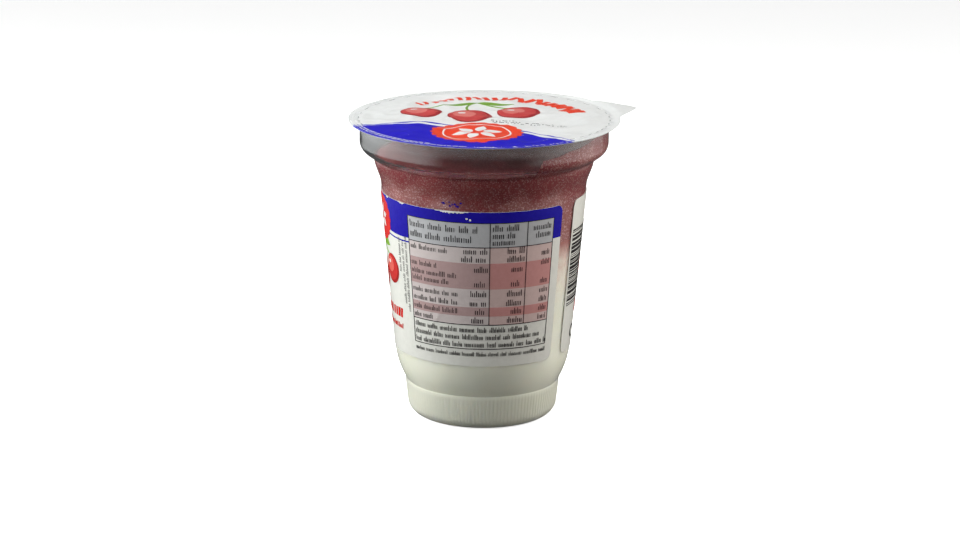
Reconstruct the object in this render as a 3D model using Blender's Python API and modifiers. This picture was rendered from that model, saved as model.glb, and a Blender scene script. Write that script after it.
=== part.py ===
"""Milk dessert pot: a clear thermoformed cup filled with a milk layer and a fruit mousse layer,
with a wraparound label and a heat-sealed foil lid. Metres, +Z up, origin at the centre of the base."""

import math

import bmesh
import bpy
from mathutils import Vector

MM = 0.001

# Heights above the base and radii from the axis, in millimetres
HEIGHT = 84.0
LID_RADIUS = 37.5
LID_THICKNESS = 0.3
FLANGE_RADIUS = 37.2
COLLAR_RADIUS = 34.3
COLLAR_FILLET = 0.6
SHOULDER_CENTRE_HEIGHT = 77.6
SHOULDER_CURVE = 3.0
SHOULDER_SWEEP = 50.0
NECK_HEIGHT = 73.2
NECK_RADIUS = 30.4
BODY_TOP_HEIGHT = 65.5
BODY_TOP_RADIUS = 28.4
BELLY_HEIGHT = 22.0
BELLY_RADIUS = 24.6
BELLY_CURVE = 24.0
BELLY_SWEEP = 30.0
FOOT_HEIGHT = 9.3
FOOT_TOP_RADIUS = 21.5
FOOT_RADIUS = 20.8
BASE_FILLET = 3.4
RING_WIDTH = 2.0
PUSH_UP_HEIGHT = 1.2
PUSH_UP_RADIUS = 14.0

# Wall of the cup, and the room between pieces that touch
WALL = 0.7
GAP = 0.3

# Contents: where the two layers meet, and the slightly tilted surface of the mousse
LAYER_HEIGHT = 52.0
FILL_HEIGHT = 74.3
FILL_TILT = 1.5
FILL_HIGH_SIDE = 27.0
FILL_BLOCK = 90.0

# Pull tab of the lid: where it points, how far it reaches past the rim and its half angle
TAB_ANGLE = 45.0
TAB_REACH = 6.8
TAB_HALF_ANGLE = 17.0
TAB_HOLLOW = 1.3

# Label: its band on the body, the bare strip between its two ends, and its corners
LABEL_LOW = 19.8
LABEL_HIGH = 64.1
LABEL_THICKNESS = 0.2
LABEL_SEAM_ANGLE = -8.25
LABEL_SEAM_WIDTH = 5.3
LABEL_CORNER = 2.0

# How finely round shapes are divided
SIDES = 60
LABEL_COLUMNS = 68
CORNER_COLUMNS = 3
LID_POINTS = 120


def start_empty():
    """Clears the scene and makes one collection for the pot and one for its cutter."""
    for obj in list(bpy.data.objects):
        bpy.data.objects.remove(obj, do_unlink=True)
    made = []
    for name in ("milk_dessert_pot", "cutters"):
        collection = bpy.data.collections.new(name)
        bpy.context.scene.collection.children.link(collection)
        made.append(collection)
    return made


def material(name, colour, roughness, metallic=0.0, alpha=1.0):
    made = bpy.data.materials.new(name)
    made.use_nodes = True
    shader = made.node_tree.nodes["Principled BSDF"]
    shader.inputs["Base Color"].default_value = (*colour, 1.0)
    shader.inputs["Roughness"].default_value = roughness
    shader.inputs["Metallic"].default_value = metallic
    shader.inputs["Alpha"].default_value = alpha
    made.diffuse_color = (*colour, alpha)
    return made


def add_object(name, data, collection):
    obj = bpy.data.objects.new(name, data)
    collection.objects.link(obj)
    return obj


def arc(centre, radius, start, end, steps):
    """Points on an arc from one angle to another, in degrees from straight outwards."""
    points = []
    for i in range(steps + 1):
        angle = math.radians(start + (end - start) * i / steps)
        points.append(centre + radius * Vector((math.cos(angle), math.sin(angle))))
    return points


def neck_flare(steps):
    """The neck widens from the body to the shoulder in one smooth S."""
    points = []
    for i in range(steps + 1):
        rise = 1 - i / steps
        width = rise * rise * (3 - 2 * rise)
        points.append(Vector((
            BODY_TOP_RADIUS + (NECK_RADIUS - BODY_TOP_RADIUS) * width,
            BODY_TOP_HEIGHT + (NECK_HEIGHT - BODY_TOP_HEIGHT) * rise,
        )))
    return points


def cup_outline():
    """Outer side of the cup as radius and height, from the edge of its flange down to the axis."""
    flange_low = HEIGHT - LID_THICKNESS - GAP - WALL
    ring_radius = FOOT_RADIUS - BASE_FILLET
    flange = [Vector((FLANGE_RADIUS, flange_low))]
    fillet_centre = Vector((COLLAR_RADIUS + COLLAR_FILLET, flange_low - COLLAR_FILLET))
    fillet = arc(fillet_centre, COLLAR_FILLET, 90, 180, 2)
    shoulder_centre = Vector((COLLAR_RADIUS - SHOULDER_CURVE, SHOULDER_CENTRE_HEIGHT))
    shoulder = arc(shoulder_centre, SHOULDER_CURVE, 0, -SHOULDER_SWEEP, 4)
    belly_centre = Vector((BELLY_RADIUS - BELLY_CURVE, BELLY_HEIGHT))
    belly = arc(belly_centre, BELLY_CURVE, 0, -BELLY_SWEEP, 6)
    foot = [Vector((FOOT_TOP_RADIUS, FOOT_HEIGHT))]
    base = arc(Vector((ring_radius, BASE_FILLET)), BASE_FILLET, 0, -90, 5)
    underside = [
        Vector((ring_radius - RING_WIDTH, 0)),
        Vector((PUSH_UP_RADIUS, PUSH_UP_HEIGHT)),
        Vector((0, PUSH_UP_HEIGHT)),
    ]
    return flange + fillet + shoulder + neck_flare(6) + belly + foot + base + underside


def inset(points, distance):
    """The outline moved towards the inside of the cup, with mitred corners."""
    normals = []
    for a, b in zip(points, points[1:]):
        along = (b - a).normalized()
        normals.append(Vector((along.y, -along.x)))
    moved = []
    for i, point in enumerate(points):
        before = normals[max(i - 1, 0)]
        after = normals[min(i, len(normals) - 1)]
        moved.append(point + distance * (before + after) / (1 + before.dot(after)))
    return moved


def split(points, height):
    """Cuts a downward line at a height, and returns the parts above and below it."""
    for i, (a, b) in enumerate(zip(points, points[1:])):
        if a.y >= height > b.y:
            meeting = a.lerp(b, (a.y - height) / (a.y - b.y))
            return points[:i + 1] + [meeting], [meeting] + points[i + 1:]
    raise ValueError("the line does not cross that height")


def turned(name, points, collection):
    """A profile turned round the axis, from a line of radius and height that runs downwards."""
    mesh = bpy.data.meshes.new(name)
    edges = [(i, i + 1) for i in range(len(points) - 1)]
    mesh.from_pydata([(p.x * MM, 0, p.y * MM) for p in points], edges, [])
    obj = add_object(name, mesh, collection)
    screw = obj.modifiers.new("turn", "SCREW")
    screw.axis = "Z"
    screw.steps = SIDES
    screw.render_steps = SIDES
    screw.use_merge_vertices = True
    screw.merge_threshold = 0.00001
    return obj


def solidify(obj, thickness, offset):
    shell = obj.modifiers.new("wall", "SOLIDIFY")
    shell.thickness = thickness * MM
    shell.offset = offset
    shell.use_even_offset = True


def bake(obj, finish):
    """Replaces an object's modifiers by their result, shaded smooth with its corners kept."""
    graph = bpy.context.evaluated_depsgraph_get()
    graph.update()
    mesh = bpy.data.meshes.new_from_object(obj.evaluated_get(graph))
    mesh.name = obj.name
    mesh.shade_smooth()
    mesh.set_sharp_from_angle(angle=math.radians(35))
    mesh.materials.clear()
    mesh.materials.append(finish)
    obj.modifiers.clear()
    obj.data = mesh


def make_cup(outline, collection):
    """The thermoformed cup: collar with flange, flared neck, tapered body, belly and foot."""
    cup = turned("pot", outline, collection)
    solidify(cup, WALL, -1)
    bake(cup, material("clear_polypropylene", (0.72, 0.73, 0.75), 0.12, alpha=0.35))


def make_milk(cavity, collection):
    """The set milk fills the foot, the belly and most of the body."""
    side = split(cavity, LAYER_HEIGHT - GAP / 2)[1]
    top = [Vector((0, side[0].y))]
    milk = turned("milk_layer", top + side, collection)
    bake(milk, material("set_milk_cream", (0.74, 0.73, 0.66), 0.45))


def make_fruit(cavity, collection, cutters):
    """The fruit mousse above the milk, cut by its tilted surface under the lid."""
    under_flange = split(cavity, HEIGHT - LID_THICKNESS - 2 * GAP - WALL)[1]
    side = split(under_flange, LAYER_HEIGHT + GAP / 2)[0]
    ends = [Vector((0, side[0].y))], [Vector((0, side[-1].y))]
    fruit = turned("fruit_layer", ends[0] + side + ends[1], collection)
    block = bmesh.new()
    bmesh.ops.create_cube(block, size=FILL_BLOCK * MM)
    bmesh.ops.translate(block, verts=block.verts, vec=(0, 0, FILL_BLOCK / 2 * MM))
    mesh = bpy.data.meshes.new("fill_surface")
    block.to_mesh(mesh)
    block.free()
    surface = add_object("fill_surface", mesh, cutters)
    surface.location = (0, 0, FILL_HEIGHT * MM)
    surface.rotation_euler = (0, -math.radians(FILL_TILT), math.radians(FILL_HIGH_SIDE))
    surface.hide_render = True
    surface.display_type = "WIRE"
    cut = fruit.modifiers.new("fill_surface", "BOOLEAN")
    cut.operation = "DIFFERENCE"
    cut.solver = "EXACT"
    cut.object = surface
    bake(fruit, material("strawberry_mousse", (0.25, 0.06, 0.055), 0.5))


def rim_radius(angle):
    """Distance from the axis to the edge of the foil, with the pointed pull tab."""
    off_tab = abs((angle - TAB_ANGLE + 180) % 360 - 180) / TAB_HALF_ANGLE
    return LID_RADIUS + TAB_REACH * max(1 - off_tab, 0) ** TAB_HOLLOW


def make_lid(collection):
    """The foil lid, a flat disc with its tab, sealed on the flange."""
    curve = bpy.data.curves.new("lid", "CURVE")
    curve.dimensions = "2D"
    curve.fill_mode = "BOTH"
    curve.extrude = LID_THICKNESS / 2 * MM
    spline = curve.splines.new("POLY")
    spline.points.add(LID_POINTS - 1)
    spline.use_cyclic_u = True
    for i, point in enumerate(spline.points):
        angle = 360 * i / LID_POINTS
        radius = rim_radius(angle) * MM
        turn = math.radians(angle)
        point.co = (radius * math.cos(turn), radius * math.sin(turn), 0, 1)
    curve.materials.append(material("printed_foil", (0.80, 0.80, 0.82), 0.35, metallic=0.2))
    lid = add_object("lid", curve, collection)
    lid.location = (0, 0, (HEIGHT - LID_THICKNESS / 2) * MM)


def body_radius(height):
    """Outer radius of the tapered body."""
    rise = (height - BELLY_HEIGHT) / (BODY_TOP_HEIGHT - BELLY_HEIGHT)
    return BELLY_RADIUS + (BODY_TOP_RADIUS - BELLY_RADIUS) * rise


def label_columns(width):
    """Distances along the label, with extra columns in its rounded ends."""
    corner = [LABEL_CORNER * (i / CORNER_COLUMNS) ** 2 for i in range(CORNER_COLUMNS)]
    inner = width - 2 * LABEL_CORNER
    middle = [LABEL_CORNER + inner * i / LABEL_COLUMNS for i in range(LABEL_COLUMNS + 1)]
    return corner + middle + [width - distance for distance in reversed(corner)]


def make_label(collection):
    """The printed film round the body, a flat strip wrapped on the taper of the cup."""
    middle_radius = body_radius((LABEL_LOW + LABEL_HIGH) / 2) + GAP
    width = 2 * math.pi * middle_radius - LABEL_SEAM_WIDTH
    columns = label_columns(width)
    start = math.radians(LABEL_SEAM_ANGLE) + LABEL_SEAM_WIDTH / 2 / middle_radius
    strip = bmesh.new()
    bmesh.ops.create_grid(strip, x_segments=len(columns) - 1, y_segments=1, size=1)
    for vert in strip.verts:
        distance = columns[round((vert.co.x + 1) / 2 * (len(columns) - 1))]
        from_end = min(distance, width - distance, LABEL_CORNER)
        rest = LABEL_CORNER - from_end
        trim = LABEL_CORNER - math.sqrt(LABEL_CORNER ** 2 - rest ** 2)
        height = LABEL_HIGH - trim if vert.co.y > 0 else LABEL_LOW + trim
        radius = (body_radius(height) + GAP) * MM
        angle = start + distance / middle_radius
        vert.co = (radius * math.cos(angle), radius * math.sin(angle), height * MM)
    mesh = bpy.data.meshes.new("label")
    strip.to_mesh(mesh)
    strip.free()
    label = add_object("label", mesh, collection)
    solidify(label, LABEL_THICKNESS, 1)
    bake(label, material("printed_film", (0.62, 0.62, 0.66), 0.35))


def main():
    collection, cutters = start_empty()
    outline = cup_outline()
    cavity = inset(outline, WALL + GAP)
    make_cup(outline, collection)
    make_milk(cavity, collection)
    make_fruit(cavity, collection, cutters)
    make_label(collection)
    make_lid(collection)


main()
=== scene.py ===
import math
import random

import bmesh
import bpy
from mathutils import Matrix, Vector, noise


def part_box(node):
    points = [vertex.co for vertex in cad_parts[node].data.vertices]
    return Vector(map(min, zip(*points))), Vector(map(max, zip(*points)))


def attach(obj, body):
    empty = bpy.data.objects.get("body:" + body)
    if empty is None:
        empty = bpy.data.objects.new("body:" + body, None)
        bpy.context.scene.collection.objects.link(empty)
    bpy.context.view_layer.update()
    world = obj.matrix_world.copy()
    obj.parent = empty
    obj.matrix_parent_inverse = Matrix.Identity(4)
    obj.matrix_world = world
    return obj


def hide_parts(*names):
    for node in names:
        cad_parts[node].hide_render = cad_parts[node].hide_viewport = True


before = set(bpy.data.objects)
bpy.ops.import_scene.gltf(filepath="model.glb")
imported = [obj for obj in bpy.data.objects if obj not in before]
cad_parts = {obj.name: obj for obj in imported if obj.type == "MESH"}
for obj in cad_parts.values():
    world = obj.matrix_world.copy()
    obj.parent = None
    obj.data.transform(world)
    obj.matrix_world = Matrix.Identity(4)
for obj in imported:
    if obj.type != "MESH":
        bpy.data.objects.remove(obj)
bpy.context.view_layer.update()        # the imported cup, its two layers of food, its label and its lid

MM = 0.001


def box_mm(node):
    """Lowest and highest corner of a solid, in millimetres."""
    low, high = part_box(node)
    return low / MM, high / MM


# Sizes taken from the solids, in millimetres
LID_HIGH = box_mm("lid")[1]
CUP_HIGH = box_mm("pot")[1]
LABEL_LOW, LABEL_HIGH = (corner.z for corner in box_mm("label"))
LAYER_HEIGHT = box_mm("fruit_layer")[0].z
LID_RADIUS = LID_HIGH.x
FLANGE_RADIUS = CUP_HIGH.x - 0.2

# Outline of the cup, in millimetres, as its solid has it
WALL = 0.7
FLANGE_THICKNESS = 0.4
COLLAR_RADIUS = 34.3
COLLAR_FILLET = 0.6
SHOULDER_CENTRE_HEIGHT = 77.6
SHOULDER_CURVE = 3.0
SHOULDER_SWEEP = 50.0
NECK_HEIGHT = 73.2
NECK_RADIUS = 30.4
BODY_TOP_HEIGHT = 65.5
BODY_TOP_RADIUS = 28.4
BELLY_HEIGHT = 22.0
BELLY_RADIUS = 24.6
BELLY_CURVE = 24.0
BELLY_SWEEP = 30.0
FOOT_HEIGHT = 9.3
FOOT_TOP_RADIUS = 21.5
FOOT_RADIUS = 20.8
BASE_FILLET = 3.4
RING_WIDTH = 2.0
PUSH_UP_HEIGHT = 1.2
PUSH_UP_RADIUS = 14.0

# Fine relief that only the visible cup has: flutes round the foot, six sides of the mesh to each
FLUTES = 128
FLUTE_DEPTH = 0.065
FLUTES_LOW = 1.0
SIDES = 6 * FLUTES

# Corners sharper than this stay crisp, so that the step over the foot shows
STEP_ANGLE = 24

# Foil and film, and how far the food reaches into the wall that it lies against
FOIL = 0.12
FOIL_TOP = LID_HIGH.z - 0.08
FILM = 0.14
FILM_GAP = 0.06
BITE = 0.25
MILK_BITE = 0.42
INK = 0.03
FLANGE_TOP = FOIL_TOP - FOIL - 0.03

# The mousse: its tilted surface, and the side where it has run up the collar to the foil
FILL_HEIGHT = 74.3
FILL_TILT = 1.5
FILL_HIGH_SIDE = 27.0
FILL_SIDES = 540
SPLASH_START, SPLASH_END = 24.5, 160.0
SPLASH_HEIGHT = 78.4
SPLASH_SLOPE = 0.093

# The view of the photograph: where the camera stands round the pot, and the part that faces it
CAMERA_AZIMUTH = 27.0
FACING = math.radians(CAMERA_AZIMUTH - 90)
CAMERA_DISTANCE = 800.0
CAMERA_HEIGHT = 259.7
CAMERA_PITCH = 15.33
CAMERA_ROLL = 0.45
CAMERA_SHIFT = -0.87
CAMERA_LENS = 111.6

# Label in flat millimetres: x runs round the body from the part that faces the camera
SEAM_ANGLE = -8.25
SEAM_WIDTH = 5.3
LABEL_CORNER = 2.0
CREASE = (-13.2, 33.4)

# Tab of the foil lid
TAB_ANGLE = 45.0
TAB_REACH = 7.7
TAB_HALF_ANGLE = 17.0
TAB_HOLLOW = 1.3
TAB_LIFT = 0.85

# Pressed ring of the seal, and the small puckers inside it
SEAL_DEPTH = 0.05
PUCKER_DEPTH = 0.015
PUCKERS = 46


# Colours and nodes


def colour(code):
    """An sRGB hex value as the linear colour that shaders take."""
    made = []
    for i in (1, 3, 5):
        value = int(code[i:i + 2], 16) / 255
        made.append(value / 12.92 if value <= 0.04045 else ((value + 0.055) / 1.055) ** 2.4)
    return (*made, 1.0)


def add_node(tree, kind, inputs=None, **settings):
    """Adds a node with its settings; an input takes a value, or a link from a socket or node."""
    node = tree.nodes.new(kind)
    for name, value in settings.items():
        setattr(node, name, value)
    for key, value in (inputs or {}).items():
        if isinstance(value, bpy.types.Node):
            value = value.outputs[0]
        if isinstance(value, bpy.types.NodeSocket):
            tree.links.new(value, node.inputs[key])
        else:
            node.inputs[key].default_value = value
    return node


def start_material(name, **values):
    """A material with its Principled shader, whose plain values go on its own sockets."""
    made = bpy.data.materials.new(name)
    made.use_nodes = True
    shader = made.node_tree.nodes["Principled BSDF"]
    for key, value in values.items():
        shader.inputs[key.replace("_", " ")].default_value = value
    return made, made.node_tree, shader


def object_coordinates(tree):
    return add_node(tree, "ShaderNodeTexCoord").outputs["Object"]


def per_metre(size_mm):
    """Texture scale whose cells are about this many millimetres wide."""
    return 1 / (size_mm * MM)


def mix_colours(tree, amount, low, high):
    """Blends two colours, each a hex value or a socket."""
    inputs = {"Factor": amount}
    for key, value in (("A", low), ("B", high)):
        inputs[key] = colour(value) if isinstance(value, str) else value
    node = tree.nodes.new("ShaderNodeMix")
    node.data_type = "RGBA"
    for socket in node.inputs:
        wanted = inputs.get(socket.name)
        if wanted is None or socket.type not in ("RGBA", "VALUE") or not socket.enabled:
            continue
        if isinstance(wanted, bpy.types.NodeSocket):
            tree.links.new(wanted, socket)
        else:
            socket.default_value = wanted
    return next(socket for socket in node.outputs if socket.enabled)


def ramp(tree, value, low, high):
    """A value spread from 0 at the low limit to 1 at the high one."""
    inputs = {"Value": value, "From Min": low, "From Max": high}
    return add_node(tree, "ShaderNodeMapRange", inputs, clamp=True).outputs["Result"]


def noise_value(tree, size_mm, detail=2.0, roughness=0.5):
    inputs = {
        "Vector": object_coordinates(tree),
        "Scale": per_metre(size_mm),
        "Detail": detail,
        "Roughness": roughness,
    }
    return add_node(tree, "ShaderNodeTexNoise", inputs).outputs["Fac"]


def bump(tree, shader, height, depth_mm, strength=1.0):
    """Gives a shader fine relief from a height between 0 and 1."""
    inputs = {"Height": height, "Distance": depth_mm * MM, "Strength": strength}
    normal = add_node(tree, "ShaderNodeBump", inputs).outputs["Normal"]
    tree.links.new(normal, shader.inputs["Normal"])


# Materials, each named for the real one


def clear_polypropylene():
    """Thermoformed polypropylene: clear and glossy, but cloudy by the flange, where it stretched least."""
    made, tree, shader = start_material(
        "thermoformed_clear_polypropylene", Base_Color=colour("#FAFBFC"), IOR=1.42)
    haze = noise_value(tree, 7.0, detail=3.0)
    rough = add_node(tree, "ShaderNodeMapRange", {"Value": haze, "To Min": 0.03, "To Max": 0.11})
    axes = add_node(tree, "ShaderNodeSeparateXYZ", {"Vector": object_coordinates(tree)}).outputs
    flat = add_node(tree, "ShaderNodeCombineXYZ", {"X": axes["X"], "Y": axes["Y"]})
    from_axis = add_node(tree, "ShaderNodeVectorMath", {0: flat.outputs["Vector"]}, operation="LENGTH")
    flange = ramp(tree, from_axis.outputs["Value"], 34.45 * MM, 35.3 * MM)
    worn = add_node(tree, "ShaderNodeMath", {0: flange, 1: 0.6, 2: rough.outputs["Result"]},
                    operation="MULTIPLY_ADD")
    tree.links.new(worn.outputs["Value"], shader.inputs["Roughness"])
    cloudy = ramp(tree, axes["Z"], 79.3 * MM, 82.5 * MM)
    clear = add_node(tree, "ShaderNodeMath", {0: cloudy, 1: -0.14, 2: 1.0}, operation="MULTIPLY_ADD")
    tree.links.new(clear.outputs["Value"], shader.inputs["Transmission Weight"])
    bump(tree, shader, haze, 0.03, 0.35)
    return made


def set_milk():
    """Set milk cream: matt, faintly yellow white, stained pink where the mousse bled into it, and made
    darker in the foot with painted shade.
    """
    made, tree, shader = start_material(
        "set_milk_cream", Roughness=0.5, IOR=1.38, Subsurface_Weight=0.15,
        Subsurface_Radius=(1.0, 0.85, 0.6), Subsurface_Scale=1.5 * MM)
    cloud = noise_value(tree, 9.0, detail=4.0)
    cream = mix_colours(tree, ramp(tree, cloud, 0.35, 0.7), "#FAF9EE", "#F5F4E8")
    height = add_node(tree, "ShaderNodeSeparateXYZ", {"Vector": object_coordinates(tree)}).outputs["Z"]
    bled = ramp(tree, height, (LAYER_HEIGHT - 17) * MM, (LAYER_HEIGHT - 1) * MM)
    streak = ramp(tree, noise_value(tree, 3.2, detail=5.0, roughness=0.7), 0.28, 0.72)
    stain = add_node(tree, "ShaderNodeMath", {0: bled, 1: streak}, operation="MULTIPLY")
    stained = mix_colours(tree, stain.outputs["Value"], cream, "#E0BEB7")
    edge = ramp(tree, height, (LAYER_HEIGHT - 4.5) * MM, (LAYER_HEIGHT + 0.5) * MM)
    stained = mix_colours(tree, edge, stained, "#C48E87")
    # Painted shade: the milk is made darker in the foot, where less light gets in.
    foot_painted_shade = ramp(tree, height, (FOOT_HEIGHT + 0.6) * MM, (FOOT_HEIGHT - 0.6) * MM)
    tree.links.new(mix_colours(tree, foot_painted_shade, stained, "#E9E8DC"), shader.inputs["Base Color"])
    bump(tree, shader, cloud, 0.05, 0.3)
    return made


def whipped_mousse():
    """Whipped strawberry mousse: maroon, with air bubbles of 0.1 mm drawn 0.4 mm wide to show."""
    made, tree, shader = start_material("whipped_fruit_mousse", Roughness=0.42, IOR=1.4)
    patch = ramp(tree, noise_value(tree, 8.0, detail=3.0), 0.3, 0.75)
    base = mix_colours(tree, patch, "#8E3A3E", "#A04C4C")
    cells = {"Vector": object_coordinates(tree), "Scale": per_metre(0.45)}
    bubbles = add_node(tree, "ShaderNodeTexVoronoi", cells).outputs
    speck = ramp(tree, bubbles["Distance"], 0.62, 0.12)
    lot = add_node(tree, "ShaderNodeSeparateColor", {"Color": bubbles["Color"]}).outputs["Red"]
    fine = add_node(tree, "ShaderNodeMath", {0: speck, 1: ramp(tree, lot, 0.25, 1.0)}, operation="MULTIPLY")
    bloom = add_node(tree, "ShaderNodeAttribute", attribute_name="bloom").outputs["Fac"]
    crowd = add_node(tree, "ShaderNodeMath", {0: bloom, 1: 0.75, 2: 0.5}, operation="MULTIPLY_ADD")
    pale = add_node(tree, "ShaderNodeMath", {0: fine.outputs["Value"], 1: crowd.outputs["Value"]},
                    operation="MULTIPLY")
    veil = add_node(tree, "ShaderNodeMath", {0: bloom, 1: 0.3, 2: pale.outputs["Value"]},
                    operation="MULTIPLY_ADD", use_clamp=True)
    tree.links.new(mix_colours(tree, veil.outputs["Value"], base, "#EBCBC4"), shader.inputs["Base Color"])
    bump(tree, shader, bubbles["Distance"], 0.06, 0.5)
    return made


def bubble_skin():
    """The skin of an air bubble in the mousse: paler than the mousse, and wet."""
    made, tree, shader = start_material("air_bubble_skin", Roughness=0.2, IOR=1.36)
    shade = ramp(tree, noise_value(tree, 4.0), 0.3, 0.7)
    tree.links.new(mix_colours(tree, shade, "#C48882", "#DDB4AE"), shader.inputs["Base Color"])
    return made


def satin_film(name, low, high):
    """Polypropylene film with its ink: satin, with the slight mottle of gravure print."""
    made, tree, shader = start_material(name, Roughness=0.22, IOR=1.49, Specular_IOR_Level=0.24)
    mottle = ramp(tree, noise_value(tree, 1.4, detail=4.0, roughness=0.65), 0.3, 0.7)
    tree.links.new(mix_colours(tree, mottle, low, high), shader.inputs["Base Color"])
    bump(tree, shader, noise_value(tree, 5.0, detail=2.0), 0.05, 0.4)
    return made


def lacquered_foil(name, low, high, metallic=0.0, roughness=0.38):
    """Thin aluminium foil under lacquer: it takes the light in soft patches where it is creased."""
    made, tree, shader = start_material(name, Roughness=roughness, Metallic=metallic,
                                        Specular_IOR_Level=0.4)
    mottle = ramp(tree, noise_value(tree, 2.5, detail=4.0, roughness=0.6), 0.3, 0.7)
    tree.links.new(mix_colours(tree, mottle, low, high), shader.inputs["Base Color"])
    bump(tree, shader, noise_value(tree, 2.4, detail=3.0, roughness=0.55), 0.09, 0.5)
    return made


def bare_foil():
    """Rolled aluminium on the underside and the cut edge of the lid, bright and finely streaked."""
    made, tree, shader = start_material("rolled_aluminium_foil", Metallic=1.0, Roughness=0.3)
    streaks = noise_value(tree, 1.0, detail=3.0)
    tree.links.new(mix_colours(tree, streaks, "#A9AAAC", "#C9CACC"), shader.inputs["Base Color"])
    return made


def pale_floor():
    """Plain matt studio floor, lit from below so that it stays white far from the pot."""
    white = colour("#F7F7F7")
    return start_material("matt_studio_floor", Roughness=0.9, Base_Color=white, Emission_Color=white,
                          Emission_Strength=FLOOR_GLOW)[0]


# Outline of the cup


def arc(centre, radius, start, end, steps):
    """Points on an arc from one angle to another, in degrees from straight outwards."""
    points = []
    for i in range(steps + 1):
        angle = math.radians(start + (end - start) * i / steps)
        points.append(centre + radius * Vector((math.cos(angle), math.sin(angle))))
    return points


def smooth(value):
    """Eases from 0 to 1."""
    value = min(max(value, 0.0), 1.0)
    return value * value * (3 - 2 * value)


def body_radius(height):
    """Outer radius of the tapered body."""
    rise = (height - BELLY_HEIGHT) / (BODY_TOP_HEIGHT - BELLY_HEIGHT)
    return BELLY_RADIUS + (BODY_TOP_RADIUS - BELLY_RADIUS) * rise


def neck_flare(steps):
    """The neck widens from the body to the shoulder in one smooth S."""
    points = []
    for i in range(steps + 1):
        rise = 1 - i / steps
        points.append(Vector((
            BODY_TOP_RADIUS + (NECK_RADIUS - BODY_TOP_RADIUS) * smooth(rise),
            BODY_TOP_HEIGHT + (NECK_HEIGHT - BODY_TOP_HEIGHT) * rise,
        )))
    return points


def cup_outline():
    """Outer side of the cup as radius and height, from the edge of its flange down to the axis."""
    flange_low = FLANGE_TOP - FLANGE_THICKNESS
    ring_radius = FOOT_RADIUS - BASE_FILLET
    rim = [Vector((FLANGE_RADIUS, flange_low + 0.1)), Vector((FLANGE_RADIUS - 0.1, flange_low))]
    fillet_centre = Vector((COLLAR_RADIUS + COLLAR_FILLET, flange_low - COLLAR_FILLET))
    fillet = arc(fillet_centre, COLLAR_FILLET, 90, 180, 4)
    shoulder_centre = Vector((COLLAR_RADIUS - SHOULDER_CURVE, SHOULDER_CENTRE_HEIGHT))
    shoulder = arc(shoulder_centre, SHOULDER_CURVE, 0, -SHOULDER_SWEEP, 6)
    belly_centre = Vector((BELLY_RADIUS - BELLY_CURVE, BELLY_HEIGHT))
    belly = arc(belly_centre, BELLY_CURVE, 0, -BELLY_SWEEP, 8)
    foot = []
    for i in range(7):
        height = FOOT_HEIGHT + (BASE_FILLET - FOOT_HEIGHT) * i / 6
        rise = (height - BASE_FILLET) / (FOOT_HEIGHT - BASE_FILLET)
        foot.append(Vector((FOOT_RADIUS + (FOOT_TOP_RADIUS - FOOT_RADIUS) * rise, height)))
    base = arc(Vector((ring_radius, BASE_FILLET)), BASE_FILLET, 0, -90, 7)
    underside = [
        Vector((ring_radius - RING_WIDTH, 0)),
        Vector((PUSH_UP_RADIUS, PUSH_UP_HEIGHT)),
        Vector((0, PUSH_UP_HEIGHT)),
    ]
    return rim + fillet + shoulder + neck_flare(9) + belly + foot + base[1:] + underside


def inset(points, distance):
    """The outline moved towards the inside of the cup, with mitred corners."""
    normals = []
    for a, b in zip(points, points[1:]):
        along = (b - a).normalized()
        normals.append(Vector((along.y, -along.x)))
    moved = []
    for i, point in enumerate(points):
        before = normals[max(i - 1, 0)]
        after = normals[min(i, len(normals) - 1)]
        moved.append(point + distance * (before + after) / (1 + before.dot(after)))
    return moved


def radius_at(points, height):
    """Radius of a downward outline at a height."""
    for a, b in zip(points, points[1:]):
        if a.y >= height > b.y:
            return a.lerp(b, (a.y - height) / (a.y - b.y)).x
    return points[0].x


def under(points, height):
    """The part of a downward outline below a height."""
    kept = [point for point in points if point.y < height]
    return [Vector((radius_at(points, height), height))] + kept


# Making pieces


def add_object(name, mesh):
    obj = bpy.data.objects.new(name, mesh)
    bpy.context.scene.collection.objects.link(obj)
    return obj


def bake(obj, sharp=40):
    """Turns an object and its modifiers into one plain mesh, shaded smooth with its corners kept."""
    graph = bpy.context.evaluated_depsgraph_get()
    graph.update()
    mesh = bpy.data.meshes.new_from_object(obj.evaluated_get(graph))
    mesh.name = obj.name
    mesh.shade_smooth()
    mesh.set_sharp_from_angle(angle=math.radians(sharp))
    obj.modifiers.clear()
    obj.data = mesh
    return obj


def hand_over(piece, slot, *replaced):
    """Every piece belongs to the one body and may stand for a solid; the slot is not used."""
    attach(piece, "root")
    if replaced:
        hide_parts(*replaced)
    return piece


def turned(name, points, sides):
    """Turns a line of radius and height, which starts and ends on the axis, into a closed skin."""
    mesh = bpy.data.meshes.new(name)
    edges = [(i, i + 1) for i in range(len(points) - 1)]
    mesh.from_pydata([(p.x * MM, 0, p.y * MM) for p in points], edges, [])
    obj = add_object(name, mesh)
    screw = obj.modifiers.new("turn", "SCREW")
    screw.steps = screw.render_steps = sides
    screw.use_merge_vertices = True
    screw.merge_threshold = 0.00001
    return obj


def solidify(obj, thickness, offset, back_material=0, rim_material=0):
    shell = obj.modifiers.new("wall", "SOLIDIFY")
    shell.thickness = thickness * MM
    shell.offset = offset
    shell.use_even_offset = True
    shell.material_offset = back_material
    shell.material_offset_rim = rim_material


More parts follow.
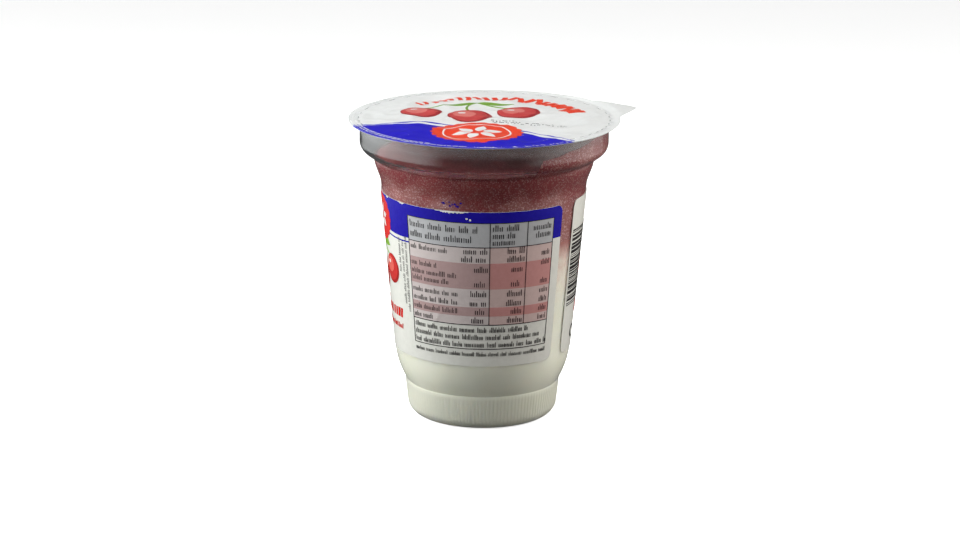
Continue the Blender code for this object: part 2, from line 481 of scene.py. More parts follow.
def loft(name, rings, first, last):
    """A closed skin over rings of points in millimetres, with a middle point at each end or None."""
    made = bmesh.new()
    rows = [[made.verts.new(point * MM) for point in ring] for ring in rings]
    for low, high in zip(rows, rows[1:]):
        for i, vert in enumerate(low):
            after = (i + 1) % len(low)
            made.faces.new((vert, low[after], high[after], high[i]))
    for row, middle, turn in ((rows[0], first, 1), (rows[-1], last, -1)):
        if middle is None:
            continue
        tip = made.verts.new(middle * MM)
        for i, vert in enumerate(row):
            made.faces.new((tip, row[(i + 1) % len(row)], vert)[::turn])
    mesh = bpy.data.meshes.new(name)
    made.to_mesh(mesh)
    made.free()
    return add_object(name, mesh)


def start_tree(name, *sockets):
    """A Geometry Nodes tree with its geometry sockets and its named inputs."""
    tree = bpy.data.node_groups.new(name, "GeometryNodeTree")
    tree.interface.new_socket("Geometry", in_out="INPUT", socket_type="NodeSocketGeometry")
    for label, kind in sockets:
        tree.interface.new_socket(label, in_out="INPUT", socket_type="NodeSocket" + kind)
    tree.interface.new_socket("Geometry", in_out="OUTPUT", socket_type="NodeSocketGeometry")
    return tree, tree.nodes.new("NodeGroupInput").outputs


def end_tree(tree, geometry, material):
    """Realizes what the tree made, gives it its material and sends it out."""
    whole = add_node(tree, "GeometryNodeRealizeInstances", {"Geometry": geometry})
    dressed = add_node(tree, "GeometryNodeSetMaterial",
                       {"Geometry": whole.outputs["Geometry"], "Material": material})
    add_node(tree, "NodeGroupOutput", {"Geometry": dressed.outputs["Geometry"]})


def run_tree(obj, tree, values):
    """Adds the tree to an object and sets its named inputs by their identifiers."""
    modifier = obj.modifiers.new(tree.name, "NODES")
    modifier.node_group = tree
    for item in tree.interface.items_tree:
        if item.in_out == "INPUT" and item.name in values:
            modifier[item.identifier] = values[item.name]


# Trees


def flute_tree():
    """Presses upright flutes into a turned wall between two heights."""
    tree, given = start_tree("foot flutes", ("Material", "Material"), ("Flutes", "Int"), ("Depth", "Float"),
                             ("Low", "Float"), ("High", "Float"))
    place = add_node(tree, "GeometryNodeInputPosition").outputs["Position"]
    axes = add_node(tree, "ShaderNodeSeparateXYZ", {"Vector": place}).outputs
    angle = add_node(tree, "ShaderNodeMath", {0: axes["Y"], 1: axes["X"]}, operation="ARCTAN2")
    wave = add_node(tree, "ShaderNodeMath", {0: angle, 1: given["Flutes"]},
                    operation="MULTIPLY")
    ripple = add_node(tree, "ShaderNodeMath", {0: wave}, operation="COSINE")
    low_end = add_node(tree, "ShaderNodeMath", {0: given["Low"], 1: 1.2 * MM}, operation="ADD")
    high_end = add_node(tree, "ShaderNodeMath", {0: given["High"], 1: 0.5 * MM}, operation="SUBTRACT")
    rises = add_node(tree, "ShaderNodeMapRange", {
        "Value": axes["Z"], "From Min": given["Low"], "From Max": low_end})
    falls = add_node(tree, "ShaderNodeMapRange", {
        "Value": axes["Z"], "From Min": given["High"], "From Max": high_end})
    band = add_node(tree, "ShaderNodeMath", {0: rises, 1: falls},
                    operation="MULTIPLY")
    deep = add_node(tree, "ShaderNodeMath", {0: ripple, 1: given["Depth"]},
                    operation="MULTIPLY")
    amount = add_node(tree, "ShaderNodeMath", {0: deep, 1: band},
                      operation="MULTIPLY")
    flat = add_node(tree, "ShaderNodeCombineXYZ", {"X": axes["X"], "Y": axes["Y"]})
    outwards = add_node(tree, "ShaderNodeVectorMath", {0: flat}, operation="NORMALIZE")
    offset = add_node(tree, "ShaderNodeVectorMath",
                      {0: outwards, "Scale": amount}, operation="SCALE")
    moved = add_node(tree, "GeometryNodeSetPosition",
                     {"Geometry": given["Geometry"], "Offset": offset})
    end_tree(tree, moved, given["Material"])
    return tree


def bubble_tree():
    """Scatters small bubbles over the parts of a skin that show, above a height."""
    tree, given = start_tree("bubbles", ("Material", "Material"), ("Density", "Float"), ("Size", "Float"),
                             ("Above", "Float"), ("Radius", "Float"))
    place = add_node(tree, "GeometryNodeInputPosition").outputs["Position"]
    axes = add_node(tree, "ShaderNodeSeparateXYZ", {"Vector": place}).outputs
    flat = add_node(tree, "ShaderNodeCombineXYZ", {"X": axes["X"], "Y": axes["Y"]})
    from_axis = add_node(tree, "ShaderNodeVectorMath", {0: flat}, operation="LENGTH")
    high = add_node(tree, "FunctionNodeCompare", {0: axes["Z"], 1: given["Above"]},
                    operation="GREATER_THAN")
    outer = add_node(tree, "FunctionNodeCompare", {0: from_axis.outputs["Value"], 1: given["Radius"]},
                     operation="GREATER_THAN")
    shows = add_node(tree, "FunctionNodeBooleanMath",
                     {0: high, 1: outer}, operation="AND")
    points = add_node(tree, "GeometryNodeDistributePointsOnFaces", {
        "Mesh": given["Geometry"], "Selection": shows, "Density": given["Density"], "Seed": 5})
    ball = add_node(tree, "GeometryNodeMeshIcoSphere", {"Radius": given["Size"], "Subdivisions": 1})
    size = add_node(tree, "FunctionNodeRandomValue", {2: 0.35, 3: 1.0, "Seed": 8}, data_type="FLOAT")
    bubbles = add_node(tree, "GeometryNodeInstanceOnPoints", {
        "Points": points, "Instance": ball, "Scale": size.outputs[1]})
    end_tree(tree, bubbles, given["Material"])
    return tree


# The cup and its food


def press_flutes(piece, material):
    """Gives the foot of a turned piece its flutes, and the piece its material."""
    run_tree(piece, bpy.data.node_groups.get("foot flutes") or flute_tree(), {
        "Material": material, "Flutes": FLUTES, "Depth": FLUTE_DEPTH * MM,
        "Low": FLUTES_LOW * MM, "High": FOOT_HEIGHT * MM})


def make_cup(outline):
    """The wall is one profile: up inside from the axis to the flange, and down outside to the axis."""
    inner = [Vector((p.x, min(p.y, FLANGE_TOP))) for p in inset(outline, WALL)]
    inner = [Vector((FLANGE_RADIUS, FLANGE_TOP))] + [p for p in inner[1:] if p.x < FLANGE_RADIUS - 0.3]
    cup = turned("clear_cup", inner[::-1] + outline, SIDES)
    press_flutes(cup, clear_polypropylene())
    return hand_over(bake(cup, STEP_ANGLE), "clear_cup", "pot")


def make_milk(outline):
    """The milk lies against the wall, and its top is hidden in the mousse."""
    top = LAYER_HEIGHT + 1.0
    side = under(inset(outline, WALL - MILK_BITE), top)
    milk = turned("milk_cream", [Vector((0, top))] + side, SIDES)
    press_flutes(milk, set_milk())
    return hand_over(bake(milk, STEP_ANGLE), "set_milk", "milk_layer")


def facing(angle):
    """An angle round the pot from the part that faces the camera, from -180 to 180 degrees."""
    return (math.degrees(angle - FACING) + 180) % 360 - 180


def fill_surface(x, y):
    """Height of the mousse: a tilted plane with low swells."""
    side = math.radians(FILL_HIGH_SIDE)
    along = x * math.cos(side) + y * math.sin(side)
    swell = 0.35 * noise.noise(Vector((x / 9, y / 9, 2.0)))
    return FILL_HEIGHT + math.tan(math.radians(FILL_TILT)) * along + swell


def splash(angle, level, ceiling, ragged):
    """Height of the mousse at the wall: it has splashed up the collar on the camera's right."""
    around = facing(angle)
    top = SPLASH_HEIGHT + SPLASH_SLOPE * (around - SPLASH_START) + 0.5 * ragged
    share = smooth((around - SPLASH_START) / 3) * smooth((SPLASH_END - around) / 25)
    return min(level + share * max(top - level, 0), ceiling)


# Where pale bubbles crowd the wall: degrees round it, their spread, height and spread in millimetres
BLOOMS = ((-52, 18, 66.5, 3.0), (-24, 12, 65.0, 1.6), (50, 16, 62.0, 6.0), (56, 12, 54.0, 5.0),
          (24, 16, 65.5, 1.8), (62, 20, 77, 4), (-110, 25, 67, 4), (150, 40, 68, 5))


def bubble_bloom(place):
    """How crowded with pale bubbles the wall is: most at both sides, just above the label."""
    around = facing(math.atan2(place.y, place.x))
    drift = noise.noise(place / 6)
    made = 0
    for centre, wide, height, tall in BLOOMS:
        off = (around - centre + 180) % 360 - 180
        made += math.exp(-(off / wide) ** 2 - ((place.z - height - 2 * drift) / tall) ** 2)
    return min(made * (0.8 + 0.6 * drift), 1)


def make_mousse(outline):
    """The mousse against the wall, its uneven lower edge, its surface and its film on the collar."""
    wall = inset(outline, WALL - BITE)
    ceiling = FOIL_TOP - FOIL - WALL - 0.5
    wall_rows, top_rows, film = 64, 26, 1.1
    rims = []
    for i in range(FILL_SIDES):
        angle = math.tau * i / FILL_SIDES
        outwards = Vector((math.cos(angle), math.sin(angle), 0))
        ragged = noise.noise(Vector((outwards.x * 6, outwards.y * 6, 4.0)))
        low = LAYER_HEIGHT - 0.4 + 0.9 * ragged
        at_wall = fill_surface(*(outwards.xy * (COLLAR_RADIUS - WALL)))
        rims.append((outwards, low, splash(angle, at_wall + 0.2 * ragged, ceiling, ragged)))
    rings = []
    for row in range(wall_rows + 1):
        share = row / wall_rows
        ring = []
        for outwards, low, high in rims:
            height = low + (high - low) * share
            ring.append(outwards * radius_at(wall, height) + Vector((0, 0, height)))
        rings.append(ring)
    for row in range(1, top_rows):
        share = (row / top_rows) ** 1.6
        ring = []
        for outwards, low, high in rims:
            edge = radius_at(wall, high)
            radius = edge * (1 - share)
            level = fill_surface(*(outwards.xy * radius))
            rest = (high - level) * math.exp(-(edge - radius) / film)
            ring.append(outwards * radius + Vector((0, 0, level + rest)))
        rings.append(ring)
    middle = Vector((0, 0, fill_surface(0, 0)))
    mousse = loft("fruit_mousse", rings, Vector((0, 0, LAYER_HEIGHT)), middle)
    bloom = mousse.data.attributes.new("bloom", "FLOAT", "POINT")
    for vert in mousse.data.vertices:
        bloom.data[vert.index].value = bubble_bloom(vert.co / MM)
    mousse.data.materials.append(whipped_mousse())
    return hand_over(bake(mousse), "fruit_mousse", "fruit_layer")


def make_bubbles(mousse):
    """Larger air bubbles against the wall of the neck and the collar."""
    bubbles = add_object("mousse_bubbles", mousse.data.copy())
    run_tree(bubbles, bubble_tree(), {
        "Material": bubble_skin(), "Density": 1.5 / MM ** 2, "Size": 0.15 * MM,
        "Above": (LABEL_HIGH + 0.6) * MM, "Radius": (BODY_TOP_RADIUS - WALL - 0.4) * MM})
    return hand_over(bake(bubbles, 180), "fruit_mousse")


# Flat outlines for print, in millimetres, anticlockwise


def rectangle(x0, y0, x1, y1):
    return [(x0, y0), (x1, y0), (x1, y1), (x0, y1)]


def disc(x, y, radius, squash=1.0, points=32):
    turns = [math.tau * i / points for i in range(points)]
    return [(x + radius * math.cos(t), y + radius * squash * math.sin(t)) for t in turns]


def scallop(x, y, radius, lobes, depth, points=120):
    """A round badge with a scalloped edge."""
    made = []
    for i in range(points):
        turn = math.tau * i / points
        reach = radius * (1 - depth + depth * abs(math.cos(lobes * turn / 2)))
        made.append((x + reach * math.cos(turn), y + reach * math.sin(turn)))
    return made


def leaf(x, y, length, width, turn, points=12):
    """A pointed leaf from its stalk end."""
    half = []
    for i in range(points + 1):
        half.append((length * i / points, width / 2 * math.sin(math.pi * (i / points) ** 0.8)))
    outline = [(px, -py) for px, py in half] + half[-2:0:-1]
    c, s = math.cos(math.radians(turn)), math.sin(math.radians(turn))
    return [(x + px * c - py * s, y + px * s + py * c) for px, py in outline]


def strip(line, width):
    """A thin band along a line of points."""
    left, right = [], []
    for i, (px, py) in enumerate(line):
        ax, ay = line[max(i - 1, 0)]
        bx, by = line[min(i + 1, len(line) - 1)]
        size = math.hypot(bx - ax, by - ay)
        nx, ny = -(by - ay) / size * width / 2, (bx - ax) / size * width / 2
        left.append((px + nx, py + ny))
        right.append((px - nx, py - ny))
    return right + left[::-1]


def bow(x0, y0, x1, y1, sag, steps=14):
    """Points on a shallow bow between two places, raised sideways by its sag."""
    size = math.hypot(x1 - x0, y1 - y0)
    nx, ny = -(y1 - y0) / size, (x1 - x0) / size
    line = []
    for i in range(steps + 1):
        t = i / steps
        lift = 4 * sag * t * (1 - t)
        line.append((x0 + (x1 - x0) * t + nx * lift, y0 + (y1 - y0) * t + ny * lift))
    return line


def between(low, high, start, end, steps):
    """The field between two height functions."""
    xs = [start + (end - start) * i / steps for i in range(steps + 1)]
    return [(x, low(x)) for x in xs] + [(x, high(x)) for x in reversed(xs)]


def print_layer(name, outlines, place, ink, lift, cell_x=None, cell_y=None):
    """Ink on a curved sheet: flat outlines, cut finely enough to follow it and laid on it."""
    flat = bmesh.new()
    for outline in outlines:
        flat.faces.new([flat.verts.new((x, y, 0)) for x, y in outline])
    for axis, cell in ((0, cell_x), (1, cell_y)):
        if not cell:
            continue
        places = [vert.co[axis] for vert in flat.verts]
        normal = Vector((1, 0, 0)) if axis == 0 else Vector((0, 1, 0))
        for i in range(math.floor(min(places) / cell) + 1, math.ceil(max(places) / cell)):
            whole = flat.verts[:] + flat.edges[:] + flat.faces[:]
            bmesh.ops.bisect_plane(flat, geom=whole, plane_co=normal * i * cell, plane_no=normal, dist=1e-4)
    for vert in flat.verts:
        vert.co = place(vert.co.x, vert.co.y, lift + INK) * MM
    mesh = bpy.data.meshes.new(name)
    flat.to_mesh(mesh)
    flat.free()
    mesh.materials.append(ink)
    printed = add_object(name, mesh)
    solidify(printed, INK + 0.02, -1)
    return hand_over(bake(printed), "printed_foil" if place is on_lid else "printed_film")


# Where flat print lies on the label and on the lid

LABEL_MIDDLE_RADIUS = body_radius((LABEL_LOW + LABEL_HIGH) / 2) + FILM_GAP + FILM
LABEL_RIGHT = LABEL_MIDDLE_RADIUS * (math.radians(SEAM_ANGLE) - FACING) - SEAM_WIDTH / 2
LABEL_LEFT = LABEL_RIGHT + SEAM_WIDTH - math.tau * LABEL_MIDDLE_RADIUS


def on_label(x, height, lift):
    """A place on the label's face: x is its distance round the body, and the film has slight ripples."""
    angle = FACING + x / LABEL_MIDDLE_RADIUS
    ripple = 0.05 * noise.noise(Vector((x / 11, height / 16, 7.0)))
    along = 0.65 * (x - CREASE[0]) + 0.76 * (height - CREASE[1])
    across = 0.76 * (x - CREASE[0]) - 0.65 * (height - CREASE[1])
    crease = 0.24 * math.exp(-(along / 1.7) ** 2 - (across / 0.55) ** 2)
    radius = body_radius(height) + FILM_GAP + FILM + ripple + crease + lift
    return Vector((radius * math.cos(angle), radius * math.sin(angle), height))


def rim_radius(angle):
    """Distance from the axis to the edge of the foil, with the pointed pull tab and a slight waver."""
    off_tab = abs((math.degrees(angle) - TAB_ANGLE + 180) % 360 - 180) / TAB_HALF_ANGLE
    tab = TAB_REACH * max(1 - math.sqrt(off_tab ** 2 + 0.004), 0) ** TAB_HOLLOW
    waver = 0.12 * noise.noise(Vector((math.cos(angle) * 5, math.sin(angle) * 5, 1.0)))
    return LID_RADIUS - 0.1 + tab + waver


def foil_height(x, y):
    """Height of the foil: soft creases inside, a pressed seal near the rim, and a lifted tab side."""
    radius = math.hypot(x, y)
    angle = math.atan2(y, x)
    inside = smooth((34.0 - radius) / 4)
    soft = 0.34 * noise.noise(Vector((x / 13, y / 13, 0.5)))
    fold = 0.24 - 0.9 * abs(noise.noise(Vector((x / 9, y / 9, 6.0))))
    crease = min(fold, 0.2)
    seal = -SEAL_DEPTH * smooth((radius - 33.4) / 1.2) * smooth((36.6 - radius) / 0.8)
    near_seal = smooth((radius - 30) / 3) * smooth((36 - radius) / 2)
    pucker = PUCKER_DEPTH * math.sin(angle * PUCKERS + 5 * math.sin(angle * 3)) * near_seal
    off_tab = ((math.degrees(angle) - TAB_ANGLE - 10 + 180) % 360 - 180) / 42
    lifted = TAB_LIFT * math.exp(-off_tab ** 2) * smooth((radius - 35.6) / 2.6)
    droop = -0.14 * smooth((radius - 36.2) / 1.3)
    tab = -0.05 * max(radius - LID_RADIUS, 0)
    return FOIL_TOP - 0.1 + inside * (soft + crease - 0.05) + seal + pucker + lifted + droop + tab


def on_lid(u, v, lift):
    """A place on the lid: u runs to the camera's right and v away from it."""
    turn = math.radians(CAMERA_AZIMUTH)
    x = u * math.cos(turn) - v * math.sin(turn)
    y = u * math.sin(turn) + v * math.cos(turn)
    return Vector((x, y, foil_height(x, y) + lift))


# The label


def make_film():
    """The film round the body, with rounded corners at its two ends."""
    rows, columns = 60, 420
    width = LABEL_RIGHT - LABEL_LEFT
    film = bmesh.new()
    bmesh.ops.create_grid(film, x_segments=columns, y_segments=rows, size=1)
    for vert in film.verts:
        x = LABEL_LEFT + width * (vert.co.x + 1) / 2
        from_end = min(x - LABEL_LEFT, LABEL_RIGHT - x, LABEL_CORNER)
        trim = LABEL_CORNER - math.sqrt(max(LABEL_CORNER ** 2 - (LABEL_CORNER - from_end) ** 2, 0))
        share = (vert.co.y + 1) / 2
        height = LABEL_LOW + trim + (LABEL_HIGH - LABEL_LOW - 2 * trim) * share
        vert.co = on_label(x, height, 0) * MM
    mesh = bpy.data.meshes.new("label_film")
    film.to_mesh(mesh)
    film.free()
    mesh.materials.append(satin_film("white_polypropylene_film", "#D0CFC8", "#D7D6CF"))
    label = add_object("label_film", mesh)
    solidify(label, FILM, -1)
    return hand_over(bake(label), "printed_film", "label")


# Size of the cells that flat print is cut into on the label and on the lid
LABEL_CELL = (0.6, 0.8)
LID_CELL = (0.9, 0.9)

# Table panel of the label, in label millimetres
TABLE_LEFT, TABLE_RIGHT = -21.8, 19.7
TABLE_COLUMNS = (1.7, 11.7)
TABLE_TOP, HEADER_LOW, ROWS_LOW, NOTE_LOW = 61.0, 54.1, 31.9, 24.9
ROSE_ROWS = ((42.2, 49.6), (34.4, 37.0))
RULE = 0.2

# Left end of the block of small lines on the far side of the label
FAR_TEXT = -98.0


def blue_lower_edge(x):
    """Lower edge of the blue field along the label: it dips and rises in long waves."""
    return 55.6 + 1.3 * math.sin((x + 12) / 8.5)


def blue_fields():
    """The blue band: over the table, down its right side, and in long waves on the rest of the label."""
    top = LABEL_HIGH - 0.02
    panel_end = LABEL_LEFT + 20
    over = rectangle(TABLE_LEFT, TABLE_TOP, TABLE_RIGHT, top)
    middle_x, middle_y = LABEL_RIGHT - LABEL_CORNER, top - LABEL_CORNER
    corner = [(middle_x + LABEL_CORNER * math.sin(t), middle_y + LABEL_CORNER * math.cos(t))
              for t in (math.radians(90 - 15 * i) for i in range(7))]
    side = [(TABLE_RIGHT, 55.0), (LABEL_RIGHT - 0.02, 55.0)] + corner + [(TABLE_RIGHT, top)]
    rest = between(blue_lower_edge, lambda x: top, panel_end, TABLE_LEFT, 150)
    line = between(lambda x: blue_lower_edge(x) - 1.35, lambda x: blue_lower_edge(x) - 0.95,
                   panel_end, TABLE_LEFT, 150)
    return [over, side, rest, line]


def table_fields():
    """Pale and rose fields of the table; the first column is paler than the others, a painted glare from
    the light on that side.
    """
    first = TABLE_COLUMNS[0]
    return {
        "grey": [rectangle(TABLE_LEFT, HEADER_LOW, TABLE_RIGHT, TABLE_TOP)],
        "pale": [rectangle(TABLE_LEFT, ROWS_LOW, first, HEADER_LOW)],
        "pink": [rectangle(first, ROWS_LOW, TABLE_RIGHT, HEADER_LOW)],
        "dusty_rose": [rectangle(TABLE_LEFT, low, first, high) for low, high in ROSE_ROWS],
        "rose": [rectangle(first, low, TABLE_RIGHT, high) for low, high in ROSE_ROWS],
    }


def table_rules():
    """Thin black rules round the table, under its header and rows, and between its columns."""
    made = []
    for height in (TABLE_TOP, HEADER_LOW, ROWS_LOW, NOTE_LOW):
        made.append(rectangle(TABLE_LEFT, height - RULE / 2, TABLE_RIGHT, height + RULE / 2))
    for x in (TABLE_LEFT, TABLE_RIGHT):
        made.append(rectangle(x - RULE / 2, NOTE_LOW, x + RULE / 2, TABLE_TOP))
    for x in TABLE_COLUMNS:
        made.append(rectangle(x - RULE / 2, ROWS_LOW, x + RULE / 2, TABLE_TOP))
    return made


def dashes(rng, start, end, low, size, upright=False):
    """One line of small strokes in word-length groups, which stands for a line of print."""
    made, x = [], start
    while x < end - 1.0:
        word = x + rng.uniform(2.0, 6.5) * size / 1.7
        while x < min(word, end - 0.4):
            tall = size * rng.choice((0.62, 0.66, 0.7, 1.0))
            width = rng.uniform(0.13, 0.2) * size / 1.5
            if upright:
                made.append(rectangle(low - tall, x, low, x + width))
            else:
                made.append(rectangle(x, low, x + width, low + tall))
            x += width + rng.uniform(0.2, 0.35) * size / 1.5
        x = max(x, word) + 0.75 * size / 1.7
    return made


def table_dashes():
    """Lines of strokes where the table has print."""
    rng = random.Random(11)
    made = []
    first, second = TABLE_COLUMNS
    for low, end in ((58.2, -1.2), (55.4, -2.0)):
        made += dashes(rng, TABLE_LEFT + 0.8, end, low, 1.9)
    for low, end in ((58.7, 11.0), (56.6, 8.5), (54.7, 8.9)):
        made += dashes(rng, first + 0.7, end, low, 1.8)
    for low, start in ((58.3, 13.4), (56.1, 14.2)):
        made += dashes(rng, start, 20.0, low, 1.8)
    for low, end in ((52.0, -9.5), (47.4, -12.5), (45.1, 0.5), (43.1, -9.0), (39.9, -4.5), (37.5, 0.0),
                     (35.0, -6.5), (32.5, -14.0)):
        made += dashes(rng, TABLE_LEFT + 0.6, min(end, first - 8.5), low, 1.5)
    for low, width in ((52.2, 6.4), (49.9, 7.0), (47.0, 3.6), (42.8, 3.6), (40.0, 4.6), (37.3, 4.8),
                       (34.9, 3.4), (32.4, 4.4)):
        made += dashes(rng, first - 0.5 - width, first - 0.3, low, 1.75)
        made += dashes(rng, second - 0.5 - min(width, 4.8), second - 0.3, low, 1.75)
    for low in (50.9, 48.2, 42.9, 40.2, 37.6, 35.0, 32.5):
        made += dashes(rng, TABLE_RIGHT - 3.4, TABLE_RIGHT - 0.4, low, 1.6)
    for low, end in ((29.7, 13.5), (27.6, 17.5), (25.4, 20.4)):
        made += dashes(rng, TABLE_LEFT + 0.6, end, low, 1.5)
    made += dashes(rng, TABLE_LEFT + 0.3, 20.2, 22.8, 1.2)
    for x, low, high in ((-23.6, 33.0, 55.0), (-25.1, 35.0, 54.6), (-26.6, 44.0, 54.2)):
        made += dashes(rng, low, high, x + 0.6, 1.0, upright=True)
    for i in range(11):
        made += dashes(rng, FAR_TEXT, FAR_TEXT + rng.uniform(15, 21), 50.0 - 2.3 * i, 1.3)
    return made


def bar_panel():
    """A ladder of bars on the second end of the label, of arbitrary widths, and a round dark mark."""
    rng = random.Random(4)
    made, height = [], 33.5
    while height < 55.5:
        bar = rng.choice((0.22, 0.22, 0.44, 0.66, 0.88))
        made.append(rectangle(LABEL_LEFT + 0.8, height, LABEL_LEFT + 14.5, height + bar))
        height += bar + rng.choice((0.22, 0.22, 0.33, 0.55))
    ring = disc(LABEL_LEFT + 8.2, 24.8, 1.9)
    return made + [ring], [disc(LABEL_LEFT + 8.2, 24.8, 1.25)]


# Front panels of the label: cherries under the blue waves, with a red ribbon below
FRONT_PANELS = (-42.0, -118.0)


def add_cherry(inks, x, y, radius, joint):
    """A round fruit on its stalk: dark side, body, lit side and highlight, each in its own ink."""
    inks["cherry_shade"].append(disc(x, y, radius))
    inks["cherry_red"].append(disc(x - 0.08 * radius, y + 0.08 * radius, 0.88 * radius))
    inks["cherry_light"].append(disc(x - 0.24 * radius, y + 0.24 * radius, 0.52 * radius))
    inks["white"].append(disc(x - 0.36 * radius, y + 0.42 * radius, 0.17 * radius, 0.7, 16))
    inks["green"].append(strip(bow(x, y + 0.8 * radius, *joint, 0.3 * radius), 0.11 * radius))


def badge_ring(x, y, radius):
    """A thin white ring inside a badge."""
    turns = [math.tau * i / 60 for i in range(61)]
    return strip([(x + radius * math.cos(t), y + radius * math.sin(t)) for t in turns], 0.05 * radius)


def add_badge(inks, x, y, radius, lobes):
    """A red scalloped badge with a flower of six white petals."""
    inks["signal_red"].append(scallop(x, y, radius, lobes, 0.07))
    for i in range(6):
        turn = math.radians(60 * i + 15)
        start = (x + 0.13 * radius * math.cos(turn), y + 0.13 * radius * math.sin(turn))
        inks["white"].append(leaf(*start, 0.43 * radius, 0.24 * radius, 60 * i + 15))


def slanted_strokes(rng, start, end, low, tall, width, gap):
    """A row of thick slanted brush strokes of uneven height."""
    made, x = [], start
    while x < end - width:
        w = width * rng.uniform(0.7, 1.2)
        top = tall * rng.choice((0.7, 0.75, 1.0))
        lean = 0.18 * top
        made.append([(x, low), (x + w, low), (x + w + lean, low + top), (x + lean, low + top)])
        x += w + gap * rng.uniform(0.6, 2.0)
    return made


def start_inks():
    names = ("green", "cherry_shade", "cherry_red", "cherry_light", "signal_red", "white")
    return {name: [] for name in names}


def front_motifs():
    """Fruit, leaves, badge and brush strokes of the front panels, by ink."""
    inks = start_inks()
    rng = random.Random(9)
    for x in FRONT_PANELS:
        joint = (x + 2.0, 52.0)
        for dx, y, radius in ((10.2, 43.5, 4.2), (1.8, 40.6, 4.4), (-7.2, 43.0, 4.2)):
            add_cherry(inks, x + dx, y, radius, joint)
        inks["green"].append(leaf(*joint, 8.0, 3.4, -16))
        inks["green"].append(leaf(*joint, 7.0, 3.0, 195))
        inks["signal_red"] += slanted_strokes(rng, x - 12, x + 15.5, 30.2, 3.6, 1.15, 0.6)
        inks["signal_red"] += slanted_strokes(rng, x - 7, x + 14.5, 26.9, 1.5, 0.5, 0.35)
        add_badge(inks, x + 4.7, 57.4, 6.8, 18)
    return inks


def worn_edge():
    """Where the top edge of the label has torn back to white, and two chips in the blue below."""
    rng = random.Random(6)
    made = []
    for start, end, deep in ((-12.8, -3.8, 0.75), (-25.4, -22.8, 0.5), (-32.0, -30.6, 0.35)):
        steps = round((end - start) / 0.35)
        top = [(start + (end - start) * i / steps, LABEL_HIGH - 0.01) for i in range(steps + 1)]
        low = []
        for x, y in top:
            share = (x - start + 0.1) / (end - start + 0.2)
            low.append((x, y - 0.08 - deep * rng.random() * math.sin(math.pi * share)))
        made.append(low + top[::-1])
    made += [disc(-4.3, 62.2, 0.34, 0.7, 10), disc(-3.4, 61.9, 0.26, 1.2, 10)]
    return made


def blue_flecks():
    """Specks of blue ink on the bare wall, just above the label."""
    rng = random.Random(21)
    made = []
    for i in range(11):
        x, y = rng.uniform(-11.0, -5.6), 65.2 + 1.5 * rng.random() ** 1.5
        fleck = []
        for t in (math.tau * k / 6 for k in range(6)):
            fleck.append((x + rng.uniform(0.1, 0.42) * math.cos(t),
                          y + rng.uniform(0.1, 0.4) * math.sin(t)))
        made.append(fleck)
    return made


# Inks with two close colours each, and how far each layer lies above the film or the foil
# In the table, the inks of the first column are paler copies of the pink and rose: painted glare.
TABLE_INKS = (
    ("grey", "#ABABAD", "#B1B1B3", 0.0), ("pale", "#BFB4B2", "#C5BAB8", 0.0),
    ("pink", "#C1A9A5", "#C7AFAB", 0.0), ("dusty_rose", "#A88D8C", "#AE9391", 0.02),
    ("rose", "#B98380", "#BF8986", 0.02))
LABEL_INKS = (
    ("blue", "#190F90", "#1F169A", 0.0), ("green", "#6F9A33", "#7CA63C", 0.02),
    ("cherry_shade", "#93201F", "#9C2825", 0.04), ("cherry_red", "#B52A28", "#BE342F", 0.06),
    ("cherry_light", "#CC564B", "#D46457", 0.08), ("signal_red", "#C42320", "#CC2C26", 0.06),
    ("white", "#D4D3CF", "#DBDAD6", 0.1), ("black", "#262324", "#302C2D", 0.06),
    ("small_print", "#262324", "#302C2D", 0.06))
LID_INKS = (
    ("blue", "#170DA6", "#1D12B0", 0.0), ("green", "#668E2E", "#739A38", 0.02),
    ("cherry_shade", "#8A2226", "#94292D", 0.04), ("cherry_red", "#AA3838", "#B24342", 0.06),
    ("cherry_light", "#BC625D", "#C4706A", 0.08), ("signal_red", "#CC3720", "#D44226", 0.06),
    ("white", "#CBCCCC", "#D2D3D3", 0.1), ("black", "#2C2829", "#363233", 0.02))


def lay_inks(sheet, motifs, inks, place, finish, kind, cell):
    """Prints each ink's outlines on a sheet, from the lowest layer to the highest."""
    for name, low, high, lift in inks:
        print_layer(sheet + name, motifs[name], place, finish(name + kind, low, high), lift, *cell)


def make_label_print():
    bars, mark_middle = bar_panel()
    motifs = front_motifs()
    motifs["blue"] = blue_fields() + blue_flecks()
    motifs["white"] += mark_middle + worn_edge()
    motifs["black"] = table_rules() + bars
    motifs["small_print"] = table_dashes()
    lay_inks("label_ink_", table_fields(), TABLE_INKS, on_label, satin_film, "_table_ink", LABEL_CELL)
    lay_inks("label_ink_", motifs, LABEL_INKS, on_label, satin_film, "_gravure_ink", LABEL_CELL)


# The lid


def make_foil():
    """The foil disc with its tab, from a fan of rings that follows its rim."""
    sides, rows = 480, 90
    rings = []
    for row in range(1, rows + 1):
        share = (row / rows) ** 0.9
        ring = []
        for i in range(sides):
            angle = math.tau * i / sides
            radius = rim_radius(angle) * share
            x, y = radius * math.cos(angle), radius * math.sin(angle)
            ring.append(Vector((x, y, foil_height(x, y))))
        rings.append(ring)
    foil = loft("foil_lid", rings[::-1], None, Vector((0, 0, foil_height(0, 0))))
    foil.data.materials.append(lacquered_foil("plain_white_lacquer", "#CBCCCC", "#D2D3D3"))
    foil.data.materials.append(bare_foil())
    solidify(foil, FOIL, -1, 1, 0)
    return hand_over(bake(foil), "printed_foil", "lid")


# The blue stops this far short of the near rim, in millimetres
RIM_LEFT_BARE = 0.08

# Far edge of the blue field on the lid, from the camera's left to its right
CRESCENT = ((-46, -12.5), (-37, -10.4), (-27, -8.9), (-17, -6.9), (-5, -8.2), (7, -13.0), (16.5, -20.8),
            (25, -28.4), (34, -37))


